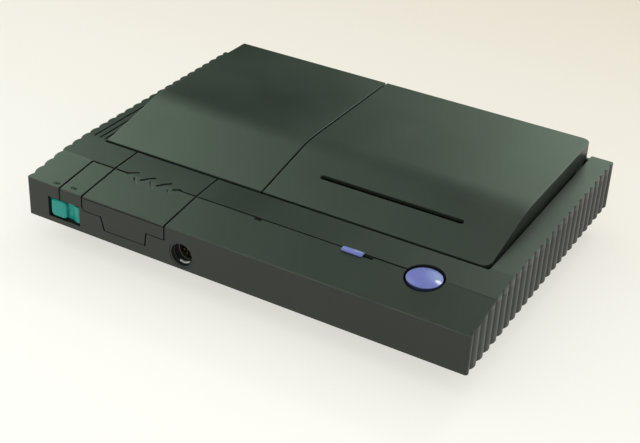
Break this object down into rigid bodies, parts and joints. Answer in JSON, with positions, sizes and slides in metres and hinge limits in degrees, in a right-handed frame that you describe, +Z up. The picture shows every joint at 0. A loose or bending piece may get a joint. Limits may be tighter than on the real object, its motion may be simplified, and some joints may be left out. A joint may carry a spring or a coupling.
{
  "type": "video game console",
  "caption": "Flat desktop video game console with a hinged top-loading disc lid, a front card slot with a flap, sliding switches and a ribbed case.",
  "frame": {"origin": "on the floor under the middle of the case", "axes": "+X to the right, +Y to the rear, +Z up; the front face with the controller port looks along -Y"},
  "size_m": [0.294, 0.213, 0.059],
  "materials": {
    "case_plastic": "fine grain, satin",
    "lid_plastic": "fine grain, satin",
    "black_plastic": "fine grain",
    "blue_plastic": "gloss",
    "teal_plastic": "satin gloss",
    "white_plastic": "smooth",
    "steel": "zinc plated",
    "shaft_steel": "polished",
    "aluminium": "plain",
    "brass": "plain",
    "rubber": "matt",
    "board": "solder mask",
    "chip": "moulded",
    "lens_glass": "coated",
    "led_clear": "clear"
  },
  "bodies": {
    "case": {"upper_case": "case_plastic", "lower_case": "case_plastic", "left_cover": "lid_plastic", "disc_well": "black_plastic", "lid_hinge_pins": "shaft_steel", "latch_pin": "shaft_steel", "power_switch_body": "black_plastic", "card_door_pin": "shaft_steel", "card_door_spring": "steel", "card_guide": "black_plastic", "card_connector": "black_plastic", "card_contacts": "brass", "pad_socket": "black_plastic", "pad_socket_shell": "steel", "pad_socket_pins": "brass", "rubber_feet": "rubber", "case_screws": "steel", "main_board": "board", "board_chips": "chip", "shield_cover": "steel", "regulator_heatsink": "aluminium", "led_window": "led_clear", "power_led": "led_clear", "dc_jack": "black_plastic", "dc_pin": "brass", "av_socket": "black_plastic", "av_pins": "brass", "headphone_jack": "black_plastic", "volume_pot": "black_plastic", "mech_chassis": "steel", "damper_grommets": "rubber", "guide_rods": "shaft_steel", "spindle_motor": "steel", "gear_post": "shaft_steel", "sled_motor": "steel", "button_spring": "steel"},
    "lid": {"cd_lid": "lid_plastic", "clamp_holder": "black_plastic"},
    "puck": {"clamp_puck": "black_plastic", "clamp_magnet": "steel"},
    "button": {"open_button": "blue_plastic"},
    "latch": {"latch_lever": "black_plastic"},
    "lock": {"lock_slider": "blue_plastic", "lock_bar": "black_plastic"},
    "power": {"power_slider": "teal_plastic"},
    "door": {"card_door": "case_plastic"},
    "spindle": {"turntable": "black_plastic"},
    "sled": {"pickup_sled": "black_plastic", "pickup_lens": "lens_glass", "sled_rack": "white_plastic"},
    "gear": {"reduction_gear": "white_plastic"},
    "pinion": {"motor_pinion": "brass"},
    "volume": {"volume_wheel": "black_plastic"}
  },
  "joints": [
    {"name": "lid_hinge", "type": "hinge", "parent": "case", "child": "lid", "pos_m": [0.0585, 0.0995, 0.0505], "axis": [-1, 0, 0], "range_deg": [0, 60]},
    {"name": "puck_spin", "type": "hinge", "parent": "lid", "child": "puck", "pos_m": [0.0585, 0.035, 0.049], "axis": [0, 0, 1], "continuous": true},
    {"name": "open_button_press", "type": "slide", "parent": "case", "child": "button", "axis": [0, 0, -1], "range_m": [0, 0.0018], "stiffness_N_per_m": 400, "springref_m": -0.0005, "deforming": ["button_spring"]},
    {"name": "latch_turn", "type": "hinge", "parent": "case", "child": "latch", "pos_m": [0.1049, -0.058, 0.0366], "axis": [1, 0, 0], "range_deg": [0, 6]},
    {"name": "lock_slide", "type": "slide", "parent": "case", "child": "lock", "axis": [1, 0, 0], "range_m": [0, 0.006]},
    {"name": "power_slide", "type": "slide", "parent": "case", "child": "power", "axis": [1, 0, 0], "range_m": [0, 0.009]},
    {"name": "card_door_hinge", "type": "hinge", "parent": "case", "child": "door", "pos_m": [-0.0754, -0.1045, 0.0382], "axis": [1, 0, 0], "range_deg": [0, 85], "stiffness_Nm_per_rad": 0.0006, "springref_deg": -34.38},
    {"name": "turntable_spin", "type": "hinge", "parent": "case", "child": "spindle", "pos_m": [0.0585, 0.035, 0.043], "axis": [0, 0, 1], "continuous": true},
    {"name": "sled_slide", "type": "slide", "parent": "case", "child": "sled", "axis": [0, -1, 0], "range_m": [0, 0.033]},
    {"name": "gear_turn", "type": "hinge", "parent": "case", "child": "gear", "pos_m": [0.0968, 0, 0.031], "axis": [0, 0, 1], "range_deg": [0, 400]},
    {"name": "pinion_turn", "type": "hinge", "parent": "case", "child": "pinion", "pos_m": [0.10981, -0.01301, 0.031], "axis": [0, 0, 1], "range_deg": [-1440, 0]},
    {"name": "volume_turn", "type": "hinge", "parent": "case", "child": "volume", "pos_m": [-0.048, 0.0982, 0.0213], "axis": [0, 0, 1], "range_deg": [0, 270]}
  ],
  "couplings": [
    {"joint": "latch_turn", "follows": "open_button_press", "rad_per_m": 54.6},
    {"joint": "gear_turn", "follows": "sled_slide", "rad_per_m": 208.33},
    {"joint": "pinion_turn", "follows": "sled_slide", "rad_per_m": -750}
  ]
}
